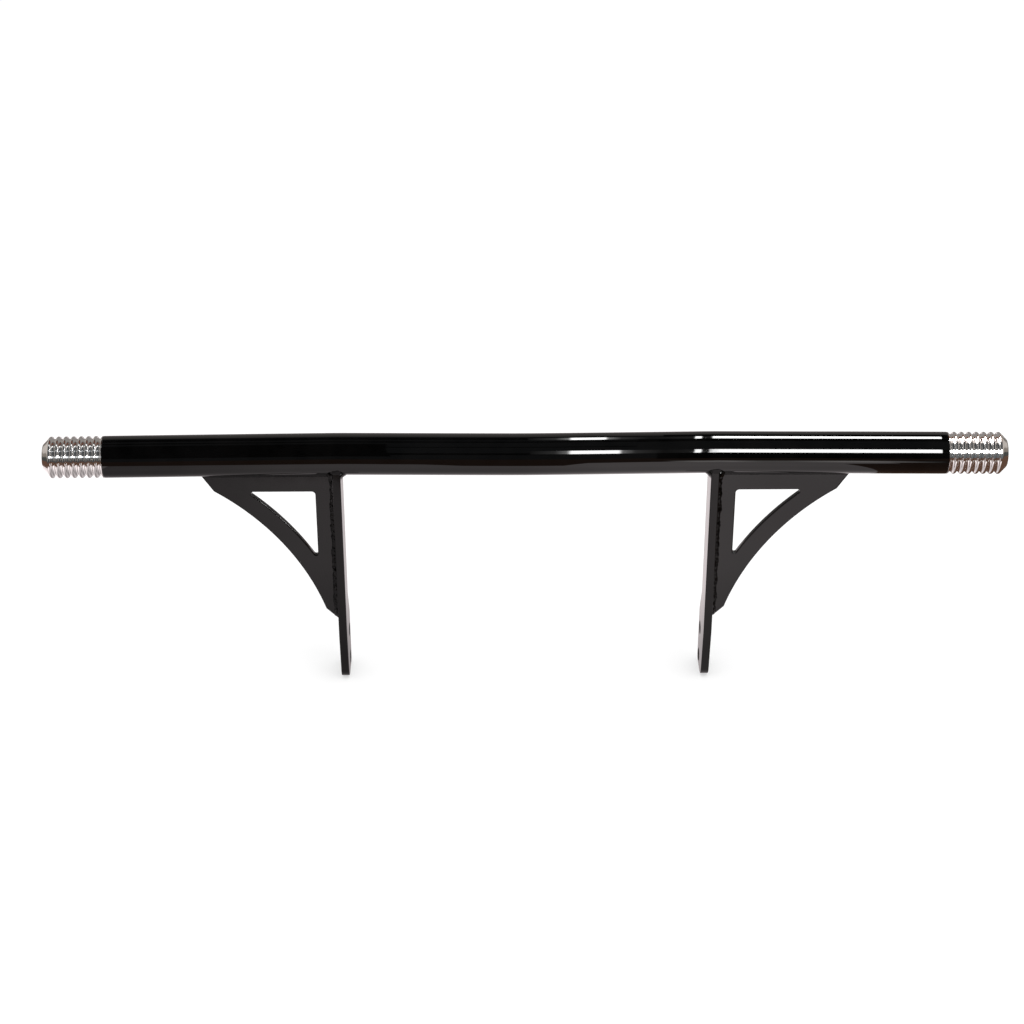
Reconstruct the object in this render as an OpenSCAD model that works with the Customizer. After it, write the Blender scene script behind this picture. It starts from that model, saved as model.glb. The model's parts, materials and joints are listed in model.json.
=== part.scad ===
// Motorcycle crash bar (engine guard): one round tube with three very shallow bends, carried on two
// flat steel plates that bolt to a frame, braced by two cut-out gussets, with a grooved
// stainless slider bolted to each end.
// Millimetres. X runs along the bar, -Y is the front of the bar, +Z is up.
// Built with the tube axis at the plates on the X axis, then moved so that the origin is the
// centre of the four mounting holes.

/* [Tube] */
// Outside diameter of the bar tube
tube_d = 31.75; // [28:0.05:38]
// Wall thickness of the bar tube
tube_wall = 3.05; // [2:0.05:4]
// Length of the bar tube from end to end
tube_len = 635; // [580:1:720]
// Angle that each straight run makes with the X axis
sweep_angle = 1; // [0.5:0.1:2]
// Chamfer on the outer edge of each tube end
tube_end_chamfer = 0.8; // [0.3:0.1:1.5]

/* [Mounting plates] */
// Distance between the inner faces of the two plates
plate_gap = 279.4; // [240:0.1:320]
// Thickness of each plate
plate_t = 6.35; // [5:0.05:8]
// Width of the plate's upper part, front to back
plate_w = 25.4; // [22:0.1:30]
// Depth of the plate's bottom edge below the tube axis
plate_drop = 199.5; // [190:0.5:220]
// Depth at which the front edge starts to lean back
front_kink_drop = 153; // [149:1:160]
// How far the front edge has leaned back at the bottom
front_lean = 7.5; // [0:0.5:9]
// How far the foot stands out behind the upper part
foot_step = 11.5; // [9:0.5:16]
// Depth at which the foot starts to widen
foot_top_drop = 129; // [120:1:135]
// Depth at which the foot has its full width
foot_full_drop = 152; // [148:1:156]
// Radius on the front bottom corner of the foot
foot_front_r = 10; // [3:0.5:12]
// Radius on the back corners of the foot
foot_corner_r = 3; // [1:0.5:5]

/* [Mounting holes] */
// Diameter of the holes, for an M10 or 3/8 inch bolt
hole_d = 10.3; // [8.2:0.1:11]
// Distance between the two holes of a plate
hole_pitch = 25.4; // [24:0.1:28]
// Distance of the lower hole from the bottom edge
hole_edge = 9; // [8:0.5:12]
// Distance of the holes behind the tube axis
hole_back = 14.5; // [12:0.5:15]

/* [Gussets] */
// Thickness of each gusset
gusset_t = 4.76; // [3:0.01:6.35]
// Length of the gusset along the tube, from the plate
gusset_reach = 101; // [94:0.5:104]
// Depth of the gusset's lowest point below the tube axis
gusset_drop = 145; // [138:1:148]
// Radius of the hollow outer edge
gusset_arc_r = 197; // [185:1:205]
// Depth below the tube at which the hollow edge begins
tip_depth = 15; // [12:0.5:18]
// Height above the lowest point at which the hollow edge ends
toe_height = 9.5; // [6:0.5:12]
// Width of the band of metal along the hollow edge
gusset_band = 14.4; // [11:0.2:15]
// Width of the band of metal under the tube
top_band = 15.6; // [13:0.2:17]
// Width of the band of metal beside the plate
side_band = 14.2; // [12:0.2:16]
// Radius in the square corner of the cut-out
cutout_corner_r = 2.8; // [1:0.1:4]
// Radius in the two sharp corners of the cut-out
cutout_tip_r = 1.5; // [0.5:0.1:2.5]

/* [Sliders] */
// Length of a slider outside the tube
slider_len = 45; // [43:0.5:48]
// Number of turned ridges, not counting the half ridge at the tube
ridge_count = 7; // [6:1:7]
// Distance from one ridge to the next
ridge_pitch = 5.57; // [5.5:0.01:5.65]
// Radius of the ridge crests
ridge_r = 1.575; // [1.4:0.005:1.65]
// Depth of the grooves between the ridges
groove_depth = 1.775; // [1.4:0.005:1.9]
// Radius of the groove bottoms
groove_r = 1.75; // [1.6:0.01:1.8]
// Diameter of the pilot that centres the slider in its bung
pilot_d = 14; // [12:0.1:16]
// Length of that pilot
pilot_len = 3; // [2:0.5:5]

/* [Slider bolts] */
// Diameter of the bolt, 5/16 inch
bolt_d = 7.94; // [6:0.01:8]
// Length of the bolt under its head
bolt_len = 57.15; // [54:0.05:59]
// Diameter of the socket head
bolt_head_d = 11.9; // [10:0.1:12.2]
// Height of the socket head
bolt_head_h = 7.94; // [6:0.01:8]
// Hexagon socket, across its flats
bolt_key = 6.35; // [5:0.05:6.4]
// Thickness of the high-collar lock washer
washer_t = 2.77; // [1.5:0.01:3]
// Diameter of the slider's counterbore
counterbore_d = 12.7; // [12.5:0.1:14]
// Depth of the slider's counterbore
counterbore_depth = 12; // [11:0.5:14]

/* [End bungs] */
// Length of the threaded bung in each tube end
bung_len = 25.4; // [24:0.1:40]
// Size of the weld chamfer on the bung
bung_chamfer = 3; // [2:0.5:3.5]

/* [Welds] */
// Leg length of the fillet welds round the plates
plate_weld = 4.5; // [3:0.1:6]
// Leg length of the fillet welds along the gussets
gusset_weld = 3.6; // [2.5:0.1:5]

/* [Hidden] */

round_fn = 96;
arc_steps = 24;
corner_steps = 6;

// Small gaps: between welded pieces, and the running fits of the pieces that turn or slide
root_gap = 0.02;
face_gap = 0.05;
fit_gap = 0.05;
pilot_gap = 0.08;

tube_r = tube_d / 2;
tube_inner_r = tube_r - tube_wall;

// The tube bends at the middle of each plate, and back again at the middle of the bar
plate_inner_x = plate_gap / 2;
plate_outer_x = plate_inner_x + plate_t;
bend_x = plate_inner_x + plate_t / 2;
inner_run = bend_x / cos(sweep_angle);
outer_run = (tube_len / 2 - bend_x) / cos(sweep_angle);

// The origin is the centre of the four mounting holes
lower_hole_drop = plate_drop - hole_edge;
hole_mid_drop = lower_hole_drop - hole_pitch / 2;
origin_shift = [0, -hole_back, hole_mid_drop];

// Gusset: its hollow edge is centred as far from the plate as from the tube axis
arc_centre = [plate_outer_x + gusset_arc_r, -gusset_arc_r];
window_x = plate_outer_x + side_band;
window_z = -tube_r - top_band;
window_arc_r = gusset_arc_r + gusset_band;
knee_drop = tube_r + tip_depth;
knee_x = arc_centre[0] - sqrt(pow(gusset_arc_r, 2) - pow(arc_centre[1] + knee_drop, 2));
foot_knee_drop = gusset_drop - toe_height;
foot_knee_x = arc_centre[0] - sqrt(pow(gusset_arc_r, 2) - pow(arc_centre[1] + foot_knee_drop, 2));

// Slider: each ridge runs into the next groove where both cross the core's radius, and the last ridge
// is followed by a 45 degree cone that touches its crest
core_step = 0.45;
crest_centre_r = tube_r - ridge_r;
groove_centre_r = tube_r - groove_depth + groove_r;
core_r = crest_centre_r + core_step;
last_ridge_z = ridge_count * ridge_pitch;
cone_sum = crest_centre_r + last_ridge_z + ridge_r * sqrt(2);
tip_r = cone_sum - slider_len;
tip_edge = 0.6;
seat_z = slider_len - counterbore_depth;
head_z = seat_z + washer_t + 2 * face_gap;

// Bung: clearance at the bottom of the pilot's recess, and the chamfer on its inner end
recess_gap = 0.3;
bung_edge = 1;

// Welds: how far they stop short of the gusset's ends, and reach into the tube before it is cut away
weld_stop = 3;
weld_sink = 2;

function arc_points(centre, r, from_angle, to_angle, steps) = [
    for (i = [0 : steps])
        let (a = from_angle + (to_angle - from_angle) * i / steps)
        [centre[0] + r * cos(a), centre[1] + r * sin(a)]
];

// Angle of the line from one point to another
function angle_to(from, to) = atan2(to[1] - from[1], to[0] - from[0]);

// The arc that rounds a convex corner, going from the line a-b to the line b-c
function corner_points(a, b, c, r) =
    let (
        back = (a - b) / norm(a - b),
        ahead = (c - b) / norm(c - b),
        half = acos(back * ahead) / 2,
        middle = (back + ahead) / norm(back + ahead),
        centre = b + middle * r / sin(half),
        start = angle_to(centre, b + back * r / tan(half)),
        finish = angle_to(centre, b + ahead * r / tan(half)),
        turn = finish - start,
        short_turn = turn > 180 ? turn - 360 : turn < -180 ? turn + 360 : turn
    )
    arc_points(centre, r, start, start + short_turn, corner_steps);

// An outline drawn in Y and Z, given thickness along +X
module along_x(thickness) {
    rotate([90, 0, 90])
        linear_extrude(thickness)
            children();
}

// An outline drawn in X and Z, given thickness along Y and centred on Y = 0
module across_y(thickness) {
    rotate([90, 0, 0])
        translate([0, 0, -thickness / 2])
            linear_extrude(thickness)
                children();
}

// Everything is modelled on the tube axis and moved to the origin at the mounting holes
module placed() {
    translate(origin_shift)
        children();
}

// The left side is the right side mirrored
module left_side() {
    placed()
        mirror([1, 0, 0])
            children();
}

module right_side() {
    placed()
        children();
}

// The frame of the right tube end: Z runs outwards along the tube, and Z = 0 is its end face
module at_tube_end() {
    translate([bend_x, 0, 0])
        rotate([0, 0, -sweep_angle])
            translate([outer_run, 0, 0])
                rotate([0, 90, 0])
                    children();
}

// A straight run that leaves the bend at a plate, cut square to the X axis at the bend and at its reach
module straight_run(r, run, reach) {
    intersection() {
        rotate([0, 0, -sweep_angle])
            rotate([0, 90, 0])
                translate([0, 0, -tube_r])
                    cylinder(h = run + tube_r, r = r, $fn = round_fn);
        translate([0, -2 * tube_d, -tube_d])
            cube([reach, 4 * tube_d, 2 * tube_d]);
    }
}

// The whole swept centre line as a solid rod with mitred bends, longer than the tube by an extra length
module tube_rod(r, extra) {
    for (side = [0, 1])
        mirror([side, 0, 0])
            translate([bend_x, 0, 0]) {
                straight_run(r, outer_run + extra, tube_len);
                mirror([1, 0, 0])
                    straight_run(r, inner_run + tube_r, bend_x);
            }
}

module main_tube() {
    color([0.03, 0.03, 0.03])
        placed()
            difference() {
                union() {
                    tube_rod(tube_r, -tube_end_chamfer);
                    for (side = [0, 1])
                        mirror([side, 0, 0])
                            at_tube_end()
                                translate([0, 0, -tube_end_chamfer])
                                    cylinder(h = tube_end_chamfer, r1 = tube_r,
                                             r2 = tube_r - tube_end_chamfer, $fn = round_fn);
                }
                tube_rod(tube_inner_r, 1);
            }
}

// One plate: a straight shank under the tube and a foot that is set back, with two bolt holes
module plate_outline() {
    front = -plate_w / 2;
    back = plate_w / 2;
    front_toe = [front + front_lean, -plate_drop];
    back_toe = [back + foot_step, -plate_drop];
    front_kink = [front, -front_kink_drop];
    back_full = [back + foot_step, -foot_full_drop];
    difference() {
        polygon(concat(
            [[front, 0], front_kink],
            corner_points(front_kink, front_toe, back_toe, foot_front_r),
            corner_points(front_toe, back_toe, back_full, foot_corner_r),
            corner_points(back_toe, back_full, [back, -foot_top_drop], foot_corner_r),
            [[back, -foot_top_drop], [back, 0]]
        ));
        for (i = [0, 1])
            translate([hole_back, -lower_hole_drop + i * hole_pitch])
                circle(d = hole_d, $fn = round_fn);
    }
}

module mount_plate() {
    color([0.05, 0.05, 0.05])
        difference() {
            translate([plate_inner_x, 0, 0])
                along_x(plate_t)
                    plate_outline();
            tube_rod(tube_r + root_gap, 0);
        }
}

// The cut-out of a gusset: two straight edges and one hollow edge, with rounded corners
module gusset_window() {
    top_tip = [
        arc_centre[0] - sqrt(pow(window_arc_r + cutout_tip_r, 2)
            - pow(window_z - cutout_tip_r - arc_centre[1], 2)),
        window_z - cutout_tip_r
    ];
    low_tip = [
        window_x + cutout_tip_r,
        arc_centre[1] + sqrt(pow(window_arc_r + cutout_tip_r, 2)
            - pow(window_x + cutout_tip_r - arc_centre[0], 2))
    ];
    top_angle = angle_to(arc_centre, top_tip);
    low_angle = angle_to(arc_centre, low_tip);
    polygon(concat(
        arc_points([window_x + cutout_corner_r, window_z - cutout_corner_r],
                   cutout_corner_r, 180, 90, corner_steps),
        arc_points(top_tip, cutout_tip_r, 90, top_angle - 180, corner_steps),
        arc_points(arc_centre, window_arc_r, top_angle, low_angle, arc_steps),
        arc_points(low_tip, cutout_tip_r, low_angle - 180, -180, corner_steps)
    ));
}

module gusset_outline() {
    knee_angle = angle_to(arc_centre, [knee_x, -knee_drop]);
    foot_angle = angle_to(arc_centre, [foot_knee_x, -foot_knee_drop]);
    difference() {
        polygon(concat(
            [[plate_outer_x + root_gap, 0], [plate_outer_x + gusset_reach, 0]],
            [[plate_outer_x + gusset_reach, -tube_r]],
            arc_points(arc_centre, gusset_arc_r, knee_angle, foot_angle, arc_steps),
            [[plate_outer_x + root_gap, -gusset_drop]]
        ));
        gusset_window();
    }
}

module gusset() {
    color([0.06, 0.06, 0.06])
        difference() {
            across_y(gusset_t)
                gusset_outline();
            tube_rod(tube_r + root_gap, 0);
        }
}

// A cone-shaped fillet on each face of the plate, closed by a short bead on its front and back edges
module plate_weld_bead() {
    half_w = plate_w / 2;
    edge_drop = sqrt(pow(tube_r, 2) - pow(half_w, 2));
    color([0.03, 0.03, 0.03])
        difference() {
            union() {
                intersection() {
                    union() {
                        translate([plate_inner_x - plate_weld - root_gap, 0, 0])
                            rotate([0, 90, 0])
                                cylinder(h = plate_weld, r1 = tube_r, r2 = tube_r + plate_weld,
                                         $fn = round_fn);
                        translate([plate_outer_x + root_gap, 0, 0])
                            rotate([0, 90, 0])
                                cylinder(h = plate_weld, r1 = tube_r + plate_weld, r2 = tube_r,
                                         $fn = round_fn);
                    }
                    translate([0, -half_w, -2 * tube_r])
                        cube([2 * plate_outer_x, plate_w, 2 * tube_r]);
                }
                for (side = [0, 1])
                    mirror([0, side, 0])
                        translate([plate_inner_x, 0, 0])
                            along_x(plate_t)
                                polygon([
                                    [half_w + root_gap, -edge_drop - plate_weld],
                                    [half_w + root_gap, 0],
                                    [tube_r, -edge_drop / 2]
                                ]);
            }
            tube_rod(tube_r + root_gap, 0);
            translate([plate_outer_x, -gusset_t / 2 - root_gap, -2 * tube_r])
                cube([2 * plate_weld, gusset_t + 2 * root_gap, 2 * tube_r]);
        }
}

// Two upright fillets, one on each side of the gusset where it meets the plate
module gusset_plate_bead() {
    top = -tube_r - plate_weld - root_gap;
    side_y = gusset_t / 2 + root_gap;
    face_x = plate_outer_x + root_gap;
    color([0.03, 0.03, 0.03])
        for (side = [0, 1])
            mirror([0, side, 0])
                translate([0, 0, -gusset_drop + weld_stop])
                    linear_extrude(gusset_drop - weld_stop + top)
                        polygon([
                            [face_x, side_y],
                            [face_x + gusset_weld, side_y],
                            [face_x, side_y + gusset_weld]
                        ]);
}

// Two fillets along the underside of the tube, one on each side of the gusset
module gusset_tube_bead() {
    side_y = gusset_t / 2 + root_gap;
    start_x = plate_outer_x + plate_weld + root_gap;
    run = gusset_reach - plate_weld - weld_stop;
    color([0.03, 0.03, 0.03])
        difference() {
            for (side = [0, 1])
                mirror([0, side, 0])
                    translate([start_x, 0, 0])
                        along_x(run)
                            polygon([
                                [side_y, -tube_r - gusset_weld],
                                [side_y, -tube_r + weld_sink],
                                [side_y + gusset_weld + weld_sink / 2, -tube_r + weld_sink]
                            ]);
            tube_rod(tube_r + root_gap, 0);
        }
}

// Turned steel plug with the bolt's thread, a shallow recess for the pilot, and a weld chamfer
module end_bung() {
    outer_r = tube_inner_r - root_gap;
    color([0.55, 0.55, 0.57])
        at_tube_end()
            rotate_extrude($fn = round_fn)
                polygon([
                    [bolt_d / 2 + fit_gap, -bung_len],
                    [outer_r - bung_edge, -bung_len],
                    [outer_r, -bung_len + bung_edge],
                    [outer_r, -bung_chamfer],
                    [outer_r - bung_chamfer, 0],
                    [pilot_d / 2 + pilot_gap, 0],
                    [pilot_d / 2 + pilot_gap, -pilot_len - recess_gap],
                    [bolt_d / 2 + fit_gap, -pilot_len - recess_gap]
                ]);
}

// Ring weld in the bung's chamfer, faced flush with the tube end
module bung_weld() {
    outer_r = tube_inner_r - root_gap;
    color([0.4, 0.4, 0.42])
        at_tube_end()
            rotate_extrude($fn = round_fn)
                polygon([
                    [outer_r, -bung_chamfer + 2 * root_gap],
                    [outer_r, 0],
                    [outer_r - bung_chamfer + 2 * root_gap, 0]
                ]);
}

// Half section of a slider, with X as the radius and Y along the axis
module slider_section() {
    difference() {
        union() {
            polygon([
                [0, face_gap],
                [core_r, face_gap],
                [core_r, last_ridge_z],
                [core_r, cone_sum - core_r],
                [tip_r + tip_edge, slider_len - tip_edge],
                [tip_r - tip_edge / 2, slider_len],
                [0, slider_len]
            ]);
            intersection() {
                for (i = [0 : ridge_count])
                    translate([crest_centre_r, i * ridge_pitch])
                        circle(ridge_r, $fn = round_fn);
                translate([0, face_gap])
                    square([tube_d, slider_len]);
            }
            translate([0, -pilot_len])
                square([pilot_d / 2, pilot_len + 1]);
        }
        for (i = [0 : ridge_count - 1])
            translate([groove_centre_r, (i + 0.5) * ridge_pitch])
                circle(groove_r, $fn = round_fn);
        translate([-1, -pilot_len - 1])
            square([1 + bolt_d / 2 + pilot_gap, slider_len + pilot_len + 2]);
        translate([-1, seat_z])
            square([1 + counterbore_d / 2, counterbore_depth + 1]);
    }
}

module slider() {
    color([0.8, 0.79, 0.78])
        at_tube_end()
            rotate_extrude($fn = round_fn)
                slider_section();
}

// High-collar spring washer under the bolt head, split at one side
module lock_washer() {
    washer_inner_r = bolt_d / 2 + 0.12;
    split = 1.2;
    color([0.3, 0.3, 0.31])
        at_tube_end()
            translate([0, 0, seat_z + face_gap])
                difference() {
                    cylinder(h = washer_t, d = bolt_head_d, $fn = round_fn);
                    translate([0, 0, -1])
                        cylinder(h = washer_t + 2, r = washer_inner_r, $fn = round_fn);
                    translate([bolt_d / 4, -split / 2, -1])
                        cube([bolt_head_d, split, washer_t + 2]);
                }
}

// Socket-head cap screw with a plain shank for its thread
module slider_bolt() {
    head_edge = 0.8;
    tip_edge_len = 1;
    socket_depth = 4;
    color([0.25, 0.25, 0.26])
        at_tube_end()
            translate([0, 0, head_z])
                difference() {
                    rotate_extrude($fn = round_fn)
                        polygon([
                            [0, -bolt_len],
                            [bolt_d / 2 - tip_edge_len, -bolt_len],
                            [bolt_d / 2, -bolt_len + tip_edge_len],
                            [bolt_d / 2, 0],
                            [bolt_head_d / 2, 0],
                            [bolt_head_d / 2, bolt_head_h - head_edge],
                            [bolt_head_d / 2 - head_edge, bolt_head_h],
                            [0, bolt_head_h]
                        ]);
                    translate([0, 0, bolt_head_h - socket_depth])
                        cylinder(h = socket_depth + 1, d = bolt_key / cos(30), $fn = 6);
                }
}

module left_mount_plate() { left_side() mount_plate(); }
module right_mount_plate() { right_side() mount_plate(); }
module left_gusset() { left_side() gusset(); }
module right_gusset() { right_side() gusset(); }
module left_plate_weld() { left_side() plate_weld_bead(); }
module right_plate_weld() { right_side() plate_weld_bead(); }
module left_gusset_plate_weld() { left_side() gusset_plate_bead(); }
module right_gusset_plate_weld() { right_side() gusset_plate_bead(); }
module left_gusset_tube_weld() { left_side() gusset_tube_bead(); }
module right_gusset_tube_weld() { right_side() gusset_tube_bead(); }
module left_end_bung() { left_side() end_bung(); }
module right_end_bung() { right_side() end_bung(); }
module left_bung_weld() { left_side() bung_weld(); }
module right_bung_weld() { right_side() bung_weld(); }
module left_slider() { left_side() slider(); }
module right_slider() { right_side() slider(); }
module left_lock_washer() { left_side() lock_washer(); }
module right_lock_washer() { right_side() lock_washer(); }
module left_slider_bolt() { left_side() slider_bolt(); }
module right_slider_bolt() { right_side() slider_bolt(); }

main_tube();
left_mount_plate();
right_mount_plate();
left_gusset();
right_gusset();
left_plate_weld();
right_plate_weld();
left_gusset_plate_weld();
right_gusset_plate_weld();
left_gusset_tube_weld();
right_gusset_tube_weld();
left_end_bung();
right_end_bung();
left_bung_weld();
right_bung_weld();
left_slider();
right_slider();
left_lock_washer();
right_lock_washer();
left_slider_bolt();
right_slider_bolt();
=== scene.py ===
import json
import math

import bmesh
import bpy
from mathutils import Matrix, Vector, noise
from mathutils.geometry import tessellate_polygon


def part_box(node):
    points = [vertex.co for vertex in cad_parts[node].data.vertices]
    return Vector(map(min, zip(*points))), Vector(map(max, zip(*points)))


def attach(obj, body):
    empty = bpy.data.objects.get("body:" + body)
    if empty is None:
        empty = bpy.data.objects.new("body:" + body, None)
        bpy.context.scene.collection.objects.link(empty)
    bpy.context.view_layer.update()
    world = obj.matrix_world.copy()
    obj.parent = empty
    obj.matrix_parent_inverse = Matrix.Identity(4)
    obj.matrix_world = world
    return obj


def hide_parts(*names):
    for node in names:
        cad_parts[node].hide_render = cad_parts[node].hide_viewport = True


# The looks of a gloss-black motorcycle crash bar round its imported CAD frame.
# Metres; X runs along the bar, -Y is its front, +Z is up, as in the frame.

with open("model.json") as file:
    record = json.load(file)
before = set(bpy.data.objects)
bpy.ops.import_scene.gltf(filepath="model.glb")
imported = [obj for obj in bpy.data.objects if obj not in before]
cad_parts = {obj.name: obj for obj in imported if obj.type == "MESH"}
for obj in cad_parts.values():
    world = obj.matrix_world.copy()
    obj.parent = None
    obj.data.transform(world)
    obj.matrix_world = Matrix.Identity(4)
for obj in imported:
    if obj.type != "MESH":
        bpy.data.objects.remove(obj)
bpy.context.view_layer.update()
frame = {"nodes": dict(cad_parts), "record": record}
record = frame["record"]
joints = {joint["name"]: joint for joint in record["behaviour"]["joints"]}
mounts = {mount["name"]: mount for mount in record["mounts"]}

MM = 0.001
MICRON = 1e-6
SIDES = {"left": -1, "right": 1}
BAR = "bar"

# ---------------------------------------------------------------- places that the frame gives
tube_low, tube_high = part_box("main_tube")
TUBE_R = (tube_high.z - tube_low.z) / 2
TUBE_Z = (tube_high.z + tube_low.z) / 2
TUBE_WALL = 3.05 * MM
TUBE_LIP = 0.8 * MM

end_point = Vector(joints["right_slider_turn"]["pos_m"])
end_axis = Vector(joints["right_slider_turn"]["axis"])
SWEEP = -end_axis.y / end_axis.x

plate_low, plate_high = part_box("right_mount_plate")
PLATE_IN = plate_low.x
PLATE_OUT = plate_high.x
BEND_X = (PLATE_IN + PLATE_OUT) / 2
PLATE_FRONT = plate_low.y
FOOT_Z = plate_low.z
TUBE_Y = end_point.y + (end_point.x - BEND_X) * SWEEP
PLATE_BACK = 2 * TUBE_Y - PLATE_FRONT

gusset_low, gusset_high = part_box("right_gusset")
GUSSET_HALF = (gusset_high.y - gusset_low.y) / 2
GUSSET_END = gusset_high.x
GUSSET_BOTTOM = gusset_low.z

X, Y, Z = Vector((1, 0, 0)), Vector((0, 1, 0)), Vector((0, 0, 1))


def centre_y(x):
    """The tube's centre line seen from above: straight runs joined by three shallow, soft bends."""
    plate_bend, middle_bend = 5 * MM, 22 * MM
    from_middle = math.sqrt(x * x + middle_bend ** 2)
    from_plate = math.sqrt((from_middle - BEND_X) ** 2 + plate_bend ** 2)
    return TUBE_Y - SWEEP * from_plate


# ---------------------------------------------------------------- materials
# Sizes of surface detail, in features per metre.
COAT_TINT, COAT_GLOSS = 45.0, 120.0
PEEL_GRAIN, PEEL_WAVE = 420.0, 60.0
TURNED_PATCHES = 160.0


def new_material(name):
    material = bpy.data.materials.new(name)
    material.use_nodes = True
    tree = material.node_tree
    return material, tree, tree.nodes["Principled BSDF"]


def node(tree, kind, **values):
    """A new node with values set on its inputs, or on its own properties where no input has that name."""
    made = tree.nodes.new(kind)
    for key, value in values.items():
        if key in made.inputs:
            made.inputs[key].default_value = value
        else:
            setattr(made, key, value)
    return made


def noise_on_object(tree, scale, detail=2.0, stretch=(1, 1, 1)):
    """Noise fixed to the piece, in features per metre, stretched along its axes."""
    place = tree.nodes.new("ShaderNodeTexCoord")
    mapping = node(tree, "ShaderNodeMapping")
    mapping.inputs["Scale"].default_value = stretch
    texture = node(tree, "ShaderNodeTexNoise", Scale=scale, Detail=detail)
    tree.links.new(place.outputs["Object"], mapping.inputs["Vector"])
    tree.links.new(mapping.outputs["Vector"], texture.inputs["Vector"])
    return texture.outputs["Fac"]


def ramp(tree, factor, low_colour, high_colour):
    """A colour between two, over the middle of a noise's range."""
    made = tree.nodes.new("ShaderNodeValToRGB")
    low, high = made.color_ramp.elements
    low.position, high.position = 0.35, 0.65
    low.color, high.color = (*low_colour, 1), (*high_colour, 1)
    tree.links.new(factor, made.inputs["Fac"])
    return made.outputs["Color"]


def spread(tree, factor, low, high):
    """A value between two, over the middle of a noise's range."""
    made = tree.nodes.new("ShaderNodeMapRange")
    made.inputs["From Min"].default_value = 0.3
    made.inputs["From Max"].default_value = 0.7
    made.inputs["To Min"].default_value = low
    made.inputs["To Max"].default_value = high
    tree.links.new(factor, made.inputs["Value"])
    return made.outputs["Result"]


def bump(tree, height, strength, distance, before=None):
    made = node(tree, "ShaderNodeBump", Strength=strength, Distance=distance)
    tree.links.new(height, made.inputs["Height"])
    if before is not None:
        tree.links.new(before, made.inputs["Normal"])
    return made.outputs["Normal"]


def powder_coat(name, roughness, peel_strength, gloss_level=0.5):
    """Gloss black powder coat: near-black resin with faint orange peel."""
    material, tree, shader = new_material(name)
    tint = ramp(tree, noise_on_object(tree, COAT_TINT), (0.0008, 0.0008, 0.0008), (0.0018, 0.0017, 0.0017))
    tree.links.new(tint, shader.inputs["Base Color"])
    gloss = spread(tree, noise_on_object(tree, COAT_GLOSS, 3.0), roughness * 0.8, roughness * 1.25)
    tree.links.new(gloss, shader.inputs["Roughness"])
    peel = bump(tree, noise_on_object(tree, PEEL_GRAIN, 1.0), peel_strength, 0.05 * MM)
    wave = bump(tree, noise_on_object(tree, PEEL_WAVE, 1.0), peel_strength * 0.7, 0.2 * MM, peel)
    tree.links.new(wave, shader.inputs["Normal"])
    shader.inputs["IOR"].default_value = 1.5
    shader.inputs["Specular IOR Level"].default_value = gloss_level
    return material


def turned_metal(name, dark, light, roughness, line_pitch, line_strength, stretch=0.9):
    """Metal turned on a lathe round its X axis. Fine lines run round it and stretch the gloss along X."""
    material, tree, shader = new_material(name)
    shader.inputs["Metallic"].default_value = 1.0
    shader.inputs["Anisotropic"].default_value = stretch
    shader.inputs["Anisotropic Rotation"].default_value = 0.25
    round_x = node(tree, "ShaderNodeTangent", direction_type="RADIAL", axis="X")
    tree.links.new(round_x.outputs["Tangent"], shader.inputs["Tangent"])
    lines = noise_on_object(tree, 1.0, 2.0, (1 / line_pitch, 4.0, 4.0))
    patches = noise_on_object(tree, TURNED_PATCHES, 3.0)
    tree.links.new(ramp(tree, patches, dark, light), shader.inputs["Base Color"])
    tree.links.new(spread(tree, lines, roughness * 0.8, roughness * 1.2), shader.inputs["Roughness"])
    tree.links.new(bump(tree, lines, line_strength, 0.01 * MM), shader.inputs["Normal"])
    return material


def plain_metal(name, dark, light, roughness, grain):
    """Bare or plated steel with a fine even grain."""
    material, tree, shader = new_material(name)
    shader.inputs["Metallic"].default_value = 1.0
    tree.links.new(ramp(tree, noise_on_object(tree, grain, 4.0), dark, light), shader.inputs["Base Color"])
    tree.links.new(spread(tree, noise_on_object(tree, grain * 2, 3.0), roughness * 0.75, roughness * 1.3),
                   shader.inputs["Roughness"])
    tree.links.new(bump(tree, noise_on_object(tree, grain * 3, 2.0), 0.15, 0.02 * MM),
                   shader.inputs["Normal"])
    return material


tube_coat = powder_coat("tube_coat", 0.030, 0.035)
plate_coat = powder_coat("plate_coat", 0.10, 0.12)
leg_coat = powder_coat("leg_coat", 0.10, 0.12, 0.33)
weld_coat = powder_coat("weld_coat", 0.10, 0.08, 0.22)
slider_steel = turned_metal("slider_steel", (0.80, 0.79, 0.775), (0.86, 0.85, 0.84), 0.10,
                            0.25 * MM, 0.01, 0.4)
bolt_steel = turned_metal("bolt_steel", (0.52, 0.51, 0.50), (0.64, 0.63, 0.62), 0.30, 0.3 * MM, 0.3)
bare_steel = turned_metal("bare_steel", (0.40, 0.40, 0.41), (0.52, 0.52, 0.53), 0.40, 0.3 * MM, 0.4)
weld_steel = plain_metal("weld_steel", (0.26, 0.25, 0.25), (0.40, 0.38, 0.36), 0.42, 700.0)
washer_zinc = plain_metal("washer_zinc", (0.50, 0.51, 0.53), (0.64, 0.65, 0.67), 0.30, 500.0)


# ---------------------------------------------------------------- mesh helpers
MERGE_DISTANCE = 1e-7
FLAT_FACE_WEIGHT = 80


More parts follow.
